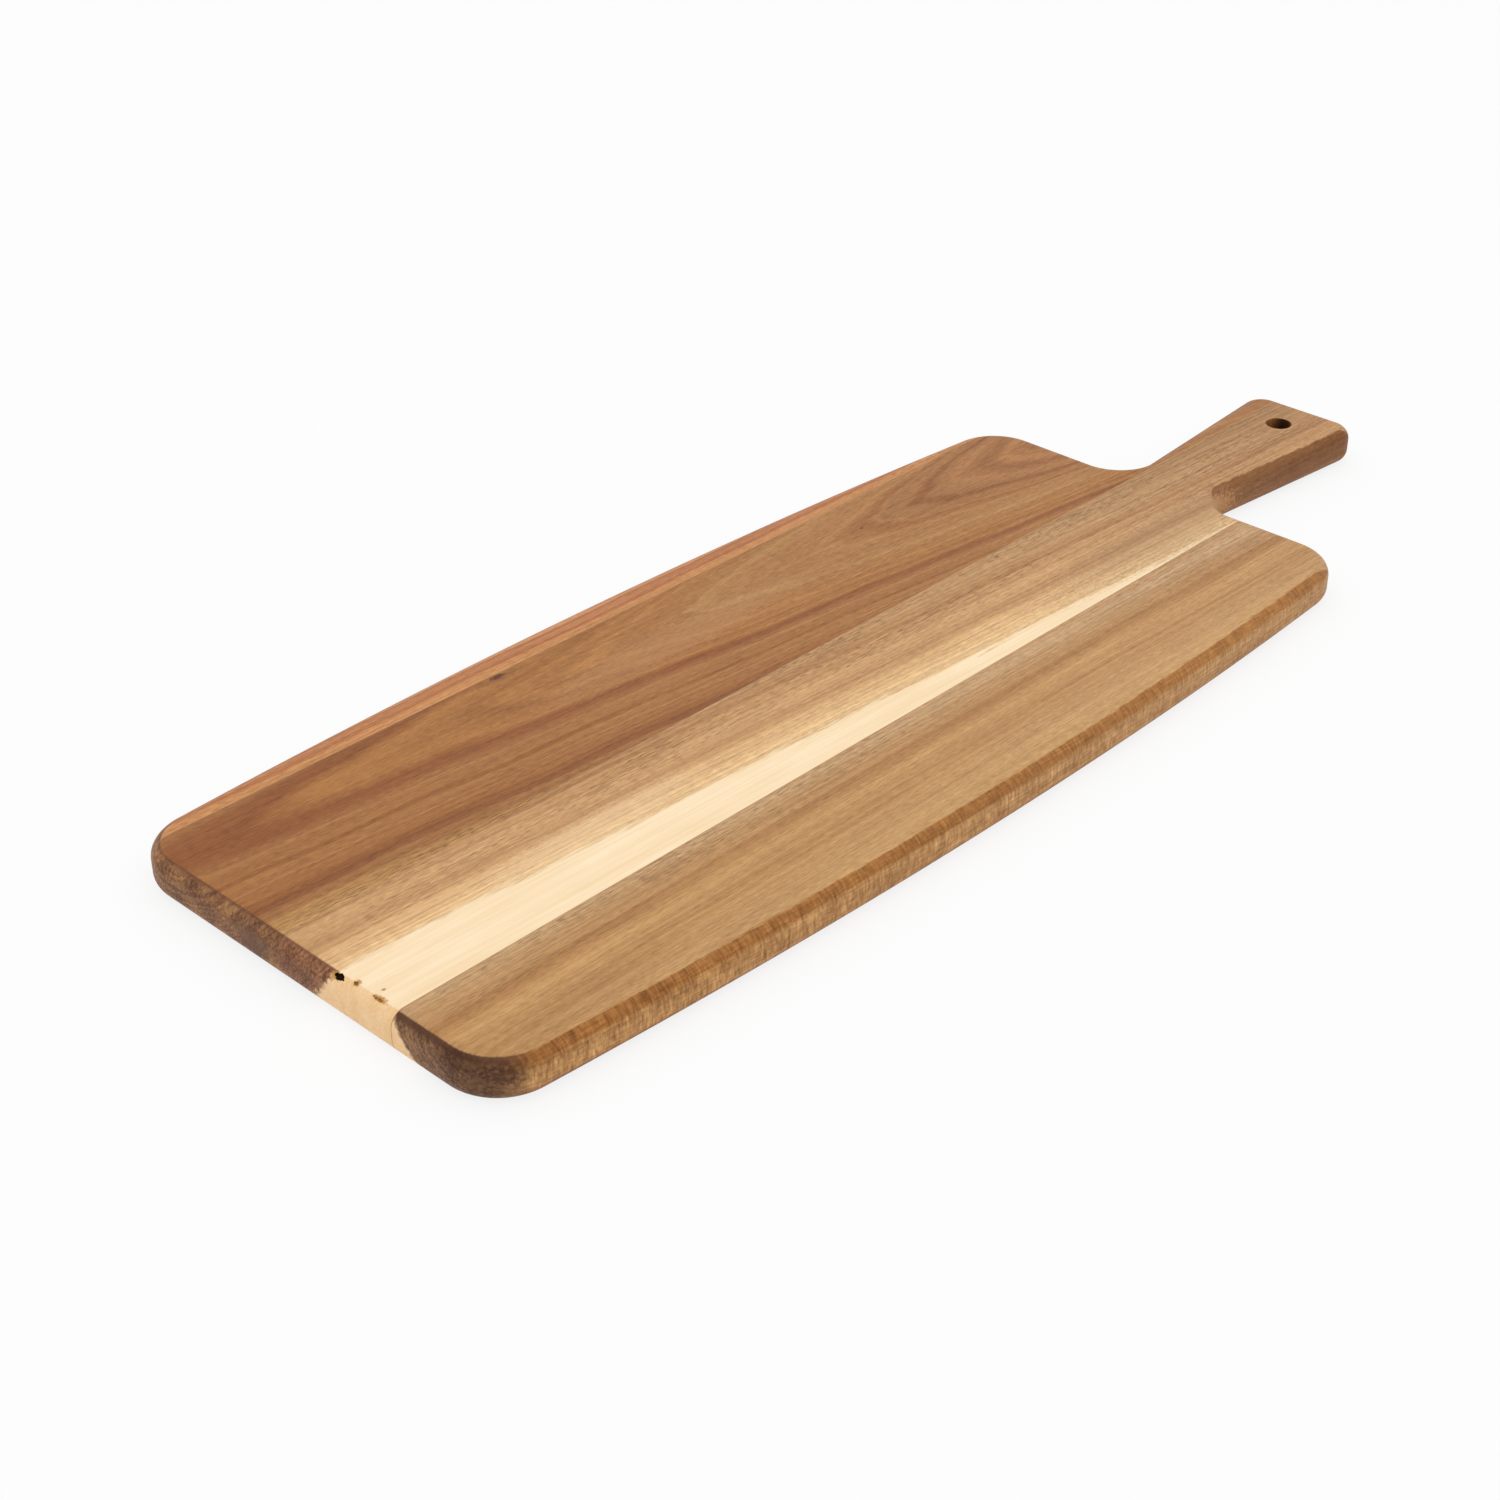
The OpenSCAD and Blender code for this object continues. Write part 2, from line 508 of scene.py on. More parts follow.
@dataclass(frozen=True)
class OiledAcacia:
    """Acacia, planed, sanded and wiped with oil.

    The oil leaves a satin skin: fine fibres and short open pores show along the grain, the growth layers
    as soft bands, and the thirsty end grain drinks so much oil that it goes dark and mottled.
    """

    name: str
    layers: GrowthLayers
    edges: EdgeFigure
    tints: tuple[str, str, str]
    pore_colour: str
    pore_strength: float
    porous_layers: Span
    fibre_strength: float = 0.6
    grain_strength: float = 1.0
    layer_strength: float = 0.75
    ripple_strength: float = 0.20
    sapwood: Sapwood | None = None
    spots: tuple[Spot, ...] = ()
    grain_angle: float = 0.0
    tint_places: Place = (0.0, 0.75, 1.0)
    fibre_size: Place = (80.0, 0.9, 0.9)
    grain_size: Place = (3.6, 0.5, 0.5)
    ripple_size: Place = (5.0, 10.0, 10.0)
    fine_layer: float = 1.4
    wander_size: Place = (160.0, 30.0, 30.0)
    wander: float = 4.0
    quiver_size: Place = (45.0, 7.0, 7.0)
    quiver: float = 2.0
    dash_size: Place = (4.0, 0.5, 0.5)
    dash_span: Span = (0.57, 0.65)
    line_size: Place = (14.0, 0.45, 0.45)
    line_span: Span = (0.55, 0.65)
    line_strength: float = 0.85
    patch_size: Place = (70.0, 6.0, 6.0)
    patch_span: Span = (0.35, 0.65)
    least_in_patch: float = 0.3
    least_in_layer: float = 0.35
    pore_depth: float = 0.8
    speckle_size: Place = (6.0, 0.9, 0.9)
    blotch_size: Place = (20.0, 8.0, 6.0)
    warmth: Place = (0.80, 1.0, 1.12)
    roughness: float = 0.46
    roughness_swing: float = 0.05
    skin: Skin = Skin(OILED_WOOD_IOR, relief_strength=0.35, relief_height=0.12, gloss=0.15)

    def material(self, square_end: float, overall_length: float) -> bpy.types.Material:
        """Builds the material from the piece's own coordinates, so all its faces show one block of wood.

        Args:
            square_end: Where the board's square end lies along X, in mm.
            overall_length: The board's length in mm.

        Returns:
            The material.
        """
        wood, tree = new_material(self.name)
        coordinates = add(tree, "TexCoord", out="Object")
        to_mm = (1 / MM,) * 3
        from_end = (-square_end, 0.0, 0.0)
        place = add(tree, "VectorMath", (coordinates, to_mm, from_end), operation="MULTIPLY_ADD")
        turn = {"Vector": place, "Angle": -math.radians(self.grain_angle)}
        grain = add(tree, "VectorRotate", turn, rotation_type="Z_AXIS")

        layer = self.layer_distance(tree, place)
        fibre = self.pattern(tree, grain, self.fibre_size, detail=3.0)
        pores = self.pores(tree, grain, layer)
        off_face, lean, endways = self.turned_away(tree, place)
        face = self.heartwood(tree, grain, layer, fibre, pores, overall_length)
        side = self.side_colour(tree, place, face, lean)
        end = self.end_colour(tree, place, layer, lean)
        if self.sapwood is not None:
            mask = self.sap_mask(tree, place, layer)
            sap, sap_end = self.sap_colours(tree, place, fibre)
            face, side, end = (
                add(tree, "Mix", {SHARE: mask, UNDER: dark, OVER: pale}, **IN_COLOUR)
                for dark, pale in ((face, sap), (side, sap), (end, sap_end))
            )
        edge = add(tree, "Mix", {SHARE: endways, UNDER: side, OVER: end}, **IN_COLOUR)
        colour = add(tree, "Mix", {SHARE: off_face, UNDER: face, OVER: edge}, **IN_COLOUR)
        for spot in self.spots:
            colour = self.marked(tree, place, colour, spot)

        height = add(tree, "Math", (pores, -self.pore_depth, fibre), operation="MULTIPLY_ADD")
        dull = self.roughness + self.roughness_swing
        shiny = self.roughness - self.roughness_swing
        rough = add(tree, "MapRange", (fibre, *NOISE_SPAN, dull, shiny))
        self.skin.close(tree, colour, rough, height)
        return wood

    @staticmethod
    def pattern(tree: Tree, place: Socket, size: Place, detail: float) -> Socket:
        """A noise whose blotches have a real size.

        Args:
            tree: The material's node tree.
            place: Coordinates in mm.
            size: The blotches' length, width and height in mm.
            detail: How many finer octaves it has.

        Returns:
            A value about 0.5.
        """
        per_mm = tuple(1 / length for length in size)
        stretched = add(tree, "VectorMath", (place, per_mm), operation="MULTIPLY")
        octaves = {"Scale": 1.0, "Detail": detail, "Roughness": OCTAVE_SHARE}
        return add(tree, "TexNoise", {"Vector": stretched} | octaves)

    def layer_distance(self, tree: Tree, place: Socket) -> Socket:
        """Which growth layer a point lies in.

        Args:
            tree: The material's node tree.
            place: Coordinates in mm from the square end.

        Returns:
            The layer, as its distance in mm from the tree's heart at the square end.
        """
        layers = self.layers
        along = add(tree, "SeparateXYZ", (place,), out="X")
        heart_start = layers.heart_y - layers.drift * layers.middle
        heart_y = add(tree, "Math", (along, layers.drift, heart_start), operation="MULTIPLY_ADD")
        heart = add(tree, "CombineXYZ", (along, heart_y, layers.heart_z))
        outward = add(tree, "VectorMath", (place, heart), operation="SUBTRACT")
        radius = add(tree, "VectorMath", (outward,), out="Value", operation="LENGTH")
        lean = add(tree, "Math", (along, -layers.taper_gain, -layers.taper), operation="MULTIPLY_ADD")
        layer = add(tree, "Math", (along, lean, radius), operation="MULTIPLY_ADD")
        for size, sway in ((self.wander_size, self.wander), (self.quiver_size, self.quiver)):
            pattern = self.pattern(tree, place, size, detail=2.0)
            layer = add(tree, "Math", (pattern, sway, layer), operation="MULTIPLY_ADD")
        balance = (self.wander + self.quiver) / 2
        return add(tree, "Math", (layer, balance), operation="SUBTRACT")

    def heartwood(
        self, tree: Tree, place: Socket, layer: Socket, fibre: Socket, pores: Socket, length: float,
    ) -> Socket:
        """The heartwood's colour on the serving face.

        Args:
            tree: The material's node tree.
            place: Coordinates in mm.
            layer: The growth layer in mm.
            fibre: The fibre pattern.
            pores: The pores.
            length: The board's length in mm.

        Returns:
            The colour.
        """
        first, last = self.layers.reach
        share = add(tree, "MapRange", (layer, first, last, 0.0, 1.0))
        colour = add(tree, "ValToRGB", (share,), stops=self.layers.stops())
        along = add(tree, "SeparateXYZ", (place,), out="X")
        share = add(tree, "Math", (along, length), operation="DIVIDE")
        # One tint at the square end, one near the blade's far end and one at the handle's tip
        tints = zip(self.tint_places, map(linear, self.tints))
        tint = add(tree, "ValToRGB", (share,), stops=tints)
        colour = add(tree, "VectorMath", (colour, tint), operation="MULTIPLY")

        fine = {"W": layer, "Scale": 1 / self.fine_layer, "Detail": 3.0}
        patterns = (
            (fibre, self.fibre_strength),
            (add(tree, "TexNoise", fine, noise_dimensions="1D"), self.layer_strength),
            (self.pattern(tree, place, self.grain_size, detail=3.0), self.grain_strength),
            (self.pattern(tree, place, self.ripple_size, detail=1.0), self.ripple_strength),
        )
        light = 1 - sum(strength for _, strength in patterns) / 2
        for pattern, strength in patterns:
            light = add(tree, "Math", (pattern, strength, light), operation="MULTIPLY_ADD")
        # Dark fibres go redder and light ones more golden
        warm = add(tree, "VectorMath", (light, self.warmth), operation="POWER")
        colour = add(tree, "VectorMath", (colour, warm), operation="MULTIPLY")
        share = add(tree, "Math", (pores, self.pore_strength), operation="MULTIPLY")
        return add(tree, "Mix", {SHARE: share, UNDER: colour, OVER: linear(self.pore_colour)}, **IN_COLOUR)

    def pores(self, tree: Tree, place: Socket, layer: Socket) -> Socket:
        """Short dark dashes where the plane opened the wood's vessels, in patches, and more in some layers.

        Args:
            tree: The material's node tree.
            place: Coordinates in mm.
            layer: The growth layer in mm.

        Returns:
            1 in a pore and 0 between them.
        """
        # The vessels are 0.2 mm wide, too fine for the picture, so they are drawn more than twice as wide
        dashes = self.pattern(tree, place, self.dash_size, detail=0.0)
        dashes = add(tree, "MapRange", (dashes, *self.dash_span, 0.0, 1.0))
        lines = self.pattern(tree, place, self.line_size, detail=1.0)
        lines = add(tree, "MapRange", (lines, *self.line_span, 0.0, self.line_strength))
        dashes = add(tree, "Math", (dashes, lines), operation="MAXIMUM")
        patch = self.pattern(tree, place, self.patch_size, detail=1.0)
        patch = add(tree, "MapRange", (patch, *self.patch_span, self.least_in_patch, 1.0))
        porous = add(tree, "MapRange", (layer, *self.porous_layers, self.least_in_layer, 1.0))
        field = add(tree, "Math", (patch, porous), operation="MULTIPLY")
        return add(tree, "Math", (dashes, field), operation="MULTIPLY")

    def turned_away(self, tree: Tree, place: Socket) -> tuple[Socket, Socket, Socket]:
        """How the surface is turned: off the flat faces or not, how far, and how much across the grain.

        Args:
            tree: The material's node tree.
            place: Coordinates in mm.

        Returns:
            Three shares from 0 to 1.
        """
        edges = self.edges
        facing = add(tree, "NewGeometry", out="Normal")
        level = add(tree, "VectorMath", (facing, (1.0, 1.0, 0.0)), operation="MULTIPLY")
        lean = add(tree, "VectorMath", (level,), out="Value", operation="LENGTH")
        heading = add(tree, "VectorMath", (level,), operation="NORMALIZE")
        heading = add(tree, "SeparateXYZ", (heading,), out="X")
        # The ends at the handle are sanded finer than the square one, and drink less oil
        start, full = edges.end_heading
        square_end = add(tree, "MapRange", (heading, -start, -full, 0.0, 1.0), **SMOOTH)
        handle_end = add(tree, "MapRange", (heading, start, full, 0.0, edges.handle_thirst), **SMOOTH)
        endways = add(tree, "Math", (square_end, handle_end), operation="MAXIMUM")
        # The rim is as ragged as an end's from half-way round to it
        fray = add(tree, "MapRange", (endways, 0.0, 0.5, 2 * edges.ragged, 2 * edges.end_ragged))
        ragged = self.pattern(tree, place, edges.ragged_size, detail=2.0)
        ragged = add(tree, "Math", (ragged, 0.5), operation="SUBTRACT")
        torn_lean = add(tree, "Math", (ragged, fray, lean), operation="MULTIPLY_ADD")
        # The round-overs at the handle's ends keep the face's colour until they are nearly upright
        delay = add(tree, "MapRange", (heading, *edges.handle_heading, 0.0, -edges.handle_delay))
        torn_lean = add(tree, "Math", (torn_lean, delay), operation="ADD")
        off_face = add(tree, "MapRange", (torn_lean, *edges.rim_turn, 0.0, 1.0), **SMOOTH)
        return off_face, lean, endways

    def side_colour(self, tree: Tree, place: Socket, colour: Socket, lean: Socket) -> Socket:
        """The wood's colour on its long sides, with the bars of its wavy grain.

        Args:
            tree: The material's node tree.
            place: Coordinates in mm.
            colour: The wood's colour on its face.
            lean: How far the surface is turned off the face.

        Returns:
            The colour.
        """
        edges = self.edges
        upright = add(tree, "MapRange", (lean, *edges.upright_turn, 0.0, 1.0), **SMOOTH)
        # The tints are partly the side grain's own tone and partly painted shade on the round-over and the
        # upright side
        tints = {UNDER: linear(edges.round_tint_and_shade), OVER: linear(edges.side_tint_and_shade)}
        tint = add(tree, "Mix", {SHARE: upright} | tints, **IN_COLOUR)
        colour = add(tree, "VectorMath", (colour, tint), operation="MULTIPLY")
        broad = self.pattern(tree, place, edges.broad_size, detail=2.0)
        narrow = self.pattern(tree, place, edges.narrow_size, detail=2.0)
        # Glints are painted highlights: bright dashes on the upright side
        glints = self.pattern(tree, place, edges.glint_size, detail=1.0)
        glints = add(tree, "MapRange", (glints, *edges.glint_span, 0.0, 1.0))
        glints = add(tree, "Math", (glints, upright), operation="MULTIPLY")
        waves = edges.bar_level
        for pattern, strength in zip((broad, narrow, glints), edges.bar_strengths):
            waves = add(tree, "Math", (pattern, strength, waves), operation="MULTIPLY_ADD")
        # The waves are steepest at the square end, and die down towards the handle
        along = add(tree, "SeparateXYZ", (place,), out="X")
        steep, gentle = (share * edges.bars for share in edges.bar_steepness)
        steepness = add(tree, "MapRange", (along, 0.0, edges.steep_length, steep, gentle))
        light = add(tree, "Math", (waves, steepness, 1.0), operation="MULTIPLY_ADD")
        light = add(tree, "Math", (light, edges.darkest_bar), operation="MAXIMUM")
        warm = add(tree, "VectorMath", (light, self.warmth), operation="POWER")
        return add(tree, "VectorMath", (colour, warm), operation="MULTIPLY")

    def end_colour(self, tree: Tree, place: Socket, layer: Socket, lean: Socket) -> Socket:
        """The oil-dark end grain: a scorched rim, then a mottle of growth rings, pores and oil.

        Args:
            tree: The material's node tree.
            place: Coordinates in mm.
            layer: The growth layer in mm.
            lean: How far the surface is turned off the face.

        Returns:
            The colour.
        """
        edges = self.edges
        rings = {"W": layer, "Scale": 1 / self.fine_layer, "Detail": 2.0}
        rings = add(tree, "TexNoise", rings, noise_dimensions="1D")
        speckle = self.pattern(tree, place, self.speckle_size, detail=3.0)
        blotch = self.pattern(tree, place, self.blotch_size, detail=2.0)
        mottle = 0.0
        for pattern, strength in zip((rings, speckle, blotch), edges.mottle_strengths):
            mottle = add(tree, "Math", (pattern, strength, mottle), operation="MULTIPLY_ADD")
        mottle = add(tree, "MapRange", (mottle, *edges.mottle_span, 0.0, 1.0))
        mottled = add(tree, "ValToRGB", (mottle,), stops=ramp(edges.end_tones))
        limits = (edges.scorch_reach - edges.scorch_fade, edges.scorch_reach)
        share = add(tree, "MapRange", (lean, *limits, edges.least_mottle, 1.0), **SMOOTH)
        return add(tree, "Mix", {SHARE: share, UNDER: linear(edges.scorch), OVER: mottled}, **IN_COLOUR)

    def sap_mask(self, tree: Tree, place: Socket, layer: Socket) -> Socket:
        """Where the sapwood is, with an edge that feathers into the heartwood along the fibres.

        Args:
            tree: The material's node tree.
            place: Coordinates in mm.
            layer: The growth layer in mm.

        Returns:
            1 in the sapwood and 0 in the heartwood.
        """
        sap = self.sapwood
        along = add(tree, "SeparateXYZ", (place,), out="X")
        feather = self.pattern(tree, place, sap.feather_size, detail=3.0)
        edge = add(tree, "Math", (feather, sap.feather, layer), operation="MULTIPLY_ADD")
        edge = add(tree, "Math", (along, -sap.retreat, edge), operation="MULTIPLY_ADD")
        start = sap.starts + sap.feather / 2
        return add(tree, "MapRange", (edge, start - sap.softness, start + sap.softness, 0.0, 1.0), **SMOOTH)

    def sap_colours(self, tree: Tree, place: Socket, fibre: Socket) -> tuple[Socket, Socket]:
        """The sapwood's cream along the grain, and its tan where the grain is cut across.

        Args:
            tree: The material's node tree.
            place: Coordinates in mm.
            fibre: The fibre pattern.

        Returns:
            The two colours.
        """
        sap = self.sapwood
        cloud = self.pattern(tree, place, sap.cloud_size, detail=2.0)
        tone = add(tree, "Math", (fibre, cloud), operation="ADD")
        tone = add(tree, "MapRange", (tone, *sap.cloud_span, 0.0, 1.0))
        along_grain = add(tree, "ValToRGB", (tone,), stops=ramp(sap.tones))
        across_grain = add(tree, "ValToRGB", (tone,), stops=ramp(sap.end_tones))
        return along_grain, across_grain

    @staticmethod
    def marked(tree: Tree, place: Socket, colour: Socket, spot: Spot) -> Socket:
        """Lays one mark over the wood.

        Args:
            tree: The material's node tree.
            place: Coordinates in mm.
            colour: The wood's colour so far.
            spot: The mark.

        Returns:
            The colour with the mark.
        """
        away = add(tree, "VectorMath", (place, spot.place), operation="SUBTRACT")
        away = add(tree, "VectorMath", (away, spot.reach), operation="DIVIDE")
        distance = add(tree, "VectorMath", (away,), out="Value", operation="LENGTH")
        ragged = add(tree, "TexNoise", {"Vector": place, "Scale": spot.ragged_per_mm, "Detail": 3.0})
        distance = add(tree, "Math", (ragged, spot.ragged, distance), operation="MULTIPLY_ADD")
        share = add(tree, "MapRange", (distance, *spot.fade, 0.0, spot.strength), **SMOOTH)
        return add(tree, "Mix", {SHARE: share, UNDER: colour, OVER: linear(spot.colour)}, **IN_COLOUR)


@dataclass(frozen=True)
class DriedGlue:
    """Wood glue, squeezed thin between two planed edges and set to a hard amber-brown film.

    The oil and the sanding dust have stained it unevenly, so it shows as a fine broken line.
    """

    name: str = "dried_wood_glue_film"
    tones: tuple[str, str] = ("#a07a50", "#bf9868")
    end_tint: str = "#b8a898"
    streak: Place = (12.0, 1.0, 3.0)
    roughness: Span = (0.4, 0.6)
    skin: Skin = Skin(DRIED_GLUE_IOR, relief_strength=0.2, relief_height=0.05)

    def material(self) -> bpy.types.Material:
        """Builds the material.

        Returns:
            The material.
        """
        glue, tree = new_material(self.name)
        coordinates = add(tree, "TexCoord", out="Object")
        per_metre = tuple(1 / (length * MM) for length in self.streak)
        place = add(tree, "VectorMath", (coordinates, per_metre), operation="MULTIPLY")
        stain = add(tree, "TexNoise", {"Vector": place, "Scale": 1.0, "Detail": 3.0})
        colour = add(tree, "ValToRGB", (stain,), stops=ramp(self.tones, NOISE_SPAN))
        # Oil pools in the end grain on both sides of it, and darkens it there
        tinted = add(tree, "VectorMath", (colour, linear(self.end_tint)[:3]), operation="MULTIPLY")
        colour = add(tree, "Mix", {SHARE: facing_ends(tree), UNDER: colour, OVER: tinted}, **IN_COLOUR)
        rough = add(tree, "MapRange", (stain, *NOISE_SPAN, *self.roughness))
        self.skin.close(tree, colour, rough, stain)
        return glue


@dataclass(frozen=True)
class TornFibre:
    """Wood that was torn or drilled rather than planed: rough, soaked with oil, and too deep to sand.

    The end grain in it is darker than the rest, by the end shade: oil soaked into it, and in the drilled
    hole also painted shade on its deep wall.
    """

    name: str
    tones: tuple[str, str]
    end_oil_and_shade: float = 1.0
    end_facing: Span = (0.3, 0.9)
    grit: float = 0.9
    roughness: Span = (0.65, 0.9)
    skin: Skin = Skin(OILED_WOOD_IOR, relief_strength=0.5, relief_height=0.3, gloss=0.08)

    def material(self) -> bpy.types.Material:
        """Builds the material.

        Returns:
            The material.
        """
        torn, tree = new_material(self.name)
        coordinates = add(tree, "TexCoord", out="Object")
        grains = {"Vector": coordinates, "Scale": 1 / (self.grit * MM), "Detail": 3.0}
        grit = add(tree, "TexNoise", grains)
        colour = add(tree, "ValToRGB", (grit,), stops=ramp(self.tones, NOISE_SPAN))
        # Darker where it faces along the board: oil-soaked end grain, and in the drilled hole partly
        # painted shade
        shade = add(tree, "MapRange", (facing_ends(tree), *self.end_facing, 1.0, self.end_oil_and_shade))
        colour = add(tree, "VectorMath", {"Vector": colour, "Scale": shade}, operation="SCALE")
        rough = add(tree, "MapRange", (grit, *NOISE_SPAN, *self.roughness))
        self.skin.close(tree, colour, rough, grit)
        return torn


RED_BROWN = OiledAcacia(
    name="acacia_red_brown_sanded_and_oiled",
    layers=GrowthLayers(
        heart_y=-200, heart_z=40, taper=0.012,
        colours=(
            (278.0, "#ca8c56"), (281.0, "#cf945d"), (283.0, "#c98a58"), (283.8, "#b47242"),
            (284.8, "#c4855a"), (287.0, "#c28456"), (288.0, "#b7784e"), (289.5, "#cb8f61"),
            (293.0, "#c68758"), (298.0, "#b67447"),
        ),
    ),
    edges=EdgeFigure(
        round_tint_and_shade="#ead0b4", side_tint_and_shade="#f4e6da", bars=0.25, scorch="#6e4630", scorch_reach=0.7,
        end_tones=("#563827", "#7c5537", "#a0744b"),
    ),
    tints=("#fcfcfa", "#f4f0f0", "#f4f0f0"),
    pore_colour="#8a5030",
    pore_strength=0.45,
    porous_layers=(298, 278),
)

DARK_BROWN = OiledAcacia(
    name="acacia_dark_brown_sanded_and_oiled",
    layers=GrowthLayers(
        heart_y=62, heart_z=55.65, drift=-0.01, taper=0.02346, taper_gain=0.000068,
        colours=(
            (18.0, "#aa754b"), (21.0, "#a67047"), (22.8, "#a9764c"), (23.5, "#9a6239"), (24.5, "#a9764c"),
            (25.2, "#ac794c"), (25.8, "#9e673d"), (26.8, "#ae7b4f"), (30.2, "#ac7a4e"), (31.2, "#bc8c5c"),
            (32.2, "#ac784a"), (36.5, "#ac7646"), (38.6, "#a87243"), (39.7, "#965d37"), (41.0, "#955e39"),
            (42.7, "#ac784c"), (47.0, "#a46f43"), (50.0, "#ad794d"), (55.0, "#9e683e"), (57.5, "#8f5a37"),
            (60.0, "#a57249"), (63.0, "#b98b5b"), (67.0, "#c79b69"),
        ),
    ),
    edges=EdgeFigure(
        round_tint_and_shade="#e0c8ae", side_tint_and_shade="#f0e2d4", bars=0.25, scorch="#6b432d", scorch_reach=0.6,
        end_tones=("#5a3a28", "#855b3c", "#a97c50"),
    ),
    tints=("#f8f2e0", "#fffff2", "#f6ecdc"),
    pore_colour="#5a3b25",
    pore_strength=0.6,
    porous_layers=(56, 62),
    grain_strength=1.3,
    grain_angle=-1.7,
    spots=(
        # A pin knot with its streak, a smaller one, oil in the end grain and a broad pale patch
        Spot(place=(148, 78, 14), reach=(4.5, 1.6, 6.0), colour="#3c2014", strength=1.0),
        Spot(place=(148, 77, 14), reach=(16.0, 2.6, 6.0), colour="#7c4c2e", strength=0.5),
        Spot(place=(321, 62, 15), reach=(1.4, 0.6, 2.0), colour="#4a2f20", strength=0.8),
        Spot(place=(0, 22, 8.5), reach=(4.0, 12.0, 6.5), colour="#664838", strength=0.7),
        Spot(place=(205, 52, 15), reach=(80.0, 12.0, 8.0), colour="#d0a074", strength=0.2),
    ),
)

WITH_SAPWOOD = OiledAcacia(
    name="acacia_with_sapwood_sanded_and_oiled",
    layers=GrowthLayers(
        heart_y=68, heart_z=66, taper=0.042,
        colours=(
            (59.0, "#b4895f"), (65.0, "#c2966a"), (69.0, "#c2956a"), (71.5, "#b98b5f"), (73.0, "#b5855b"),
            (75.0, "#c39366"), (79.0, "#cd9f71"), (85.2, "#ca9c6e"), (86.3, "#bd8e64"), (87.4, "#c7986c"),
            (89.0, "#d3a676"), (91.5, "#deb283"), (96.5, "#e4ba8a"), (100.0, "#ecc697"),
        ),
    ),
    edges=EdgeFigure(
        # Its darker tints are partly the grain's tone and partly painted shade on the handle's near flank,
        # which turns from the light
        round_tint_and_shade="#baa48e", side_tint_and_shade="#c4b09f", bars=0.15, scorch="#7c523a", scorch_reach=0.6,
        end_tones=("#5c3a28", "#875a3e", "#a97853"), ragged=0.16,
    ),
    tints=("#fffff8", "#fffff8", "#f2ede3"),
    pore_colour="#6e4a2a",
    pore_strength=0.6,
    porous_layers=(90, 76),
    grain_angle=-1.0,
    ripple_strength=0.22,
    sapwood=Sapwood(starts=98.9, retreat=0.008, feather=7.0, softness=1.1),
    spots=(
        # A broad dark patch by the handle's root, painted shade on its near side there, then a pale patch
        # and a brown streak by the glue line
        Spot(place=(415, -26, 15.0), reach=(110.0, 17.0, 20.0), colour="#7c5a42", strength=0.3),
        Spot(place=(105, -15, 15.0), reach=(60.0, 8.0, 8.0), colour="#f3d3aa", strength=0.3),
        Spot(place=(30, 10, 15.0), reach=(45.0, 3.5, 8.0), colour="#94653c", strength=0.35),
        # The stains about the three torn pits, and two flecks near them
        Spot(place=(2.4, -16.6, 13.8), reach=(2.0, 2.6, 2.0), colour="#b8843c", strength=0.8),
        Spot(place=(3.6, -24.6, 14.4), reach=(1.6, 1.8, 1.4), colour="#b8823a", strength=0.85),
        Spot(place=(3.4, -35.6, 14.4), reach=(1.3, 4.0, 1.4), colour="#b8823a", strength=0.85),
        Spot(place=(6.5, -33.0, 15.0), reach=(0.9, 0.6, 1.0), colour="#8a5a2c", strength=0.7),
        Spot(place=(0.6, -12.6, 11.6), reach=(1.5, 1.3, 1.5), colour="#5a3a26", strength=0.8),
        # The handle's near side, lighter in the hollow at its root, and darker along the grip as painted
        # shade on the side that turns from the light
        Spot(place=(440, -22, 8.0), reach=(22.0, 9.0, 9.0), colour="#c99766", strength=0.8),
        Spot(place=(510, -24, 8.0), reach=(62.0, 9.0, 9.0), colour="#5f3a22", strength=0.28),
    ),
)

GOLDEN_BROWN = OiledAcacia(
    name="acacia_golden_brown_sanded_and_oiled",
    layers=GrowthLayers(
        heart_y=-95, heart_z=48, drift=-0.0227, taper=0.0299, taper_gain=-0.000033,
        colours=(
            (28.0, "#c99d6a"), (32.0, "#c29665"), (35.5, "#bb8d5b"), (38.0, "#bb8d5c"), (41.5, "#c69864"),
            (44.3, "#b98a58"), (45.8, "#ad7d4e"), (47.2, "#b78858"), (50.0, "#be9263"), (53.0, "#be9468"),
            (56.0, "#caa47a"), (58.0, "#c79d71"), (62.0, "#bb8f63"),
        ),
    ),
    edges=EdgeFigure(
        round_tint_and_shade="#dfc5a4", side_tint_and_shade="#fdf9f3", bars=0.60, scorch="#573725", scorch_reach=0.85,
        end_tones=("#553727", "#7a573d", "#9c7652"), ragged=0.1,
    ),
    tints=("#fefcf6", "#ffffff", "#ffffff"),
    pore_colour="#6c4b2b",
    pore_strength=0.5,
    porous_layers=(40, 52),
    layer_strength=0.5,
    grain_angle=-1.0,
    sapwood=Sapwood(starts=58.0, retreat=0.02, feather=2.0, softness=0.8),
    spots=(
        # Oil in the rounded corner and along the end grain, then two darker streaks along the board
        Spot(place=(4.0, -86, 11.0), reach=(11.0, 10.0, 5.5), colour="#3a1c10", strength=0.6),
        Spot(place=(1.5, -75, 12.5), reach=(5.0, 17.0, 4.0), colour="#3a1c10", strength=0.6),
        Spot(place=(4.0, -79, 7.5), reach=(12.0, 13.0, 6.2), colour="#4a2e20", strength=0.45),
        Spot(place=(245, -95, 13.0), reach=(95.0, 8.0, 4.0), colour="#7a4f2a", strength=0.15),
        Spot(place=(35, -78, 15.0), reach=(55.0, 7.0, 6.0), colour="#6e4a2a", strength=0.15),
    ),
)

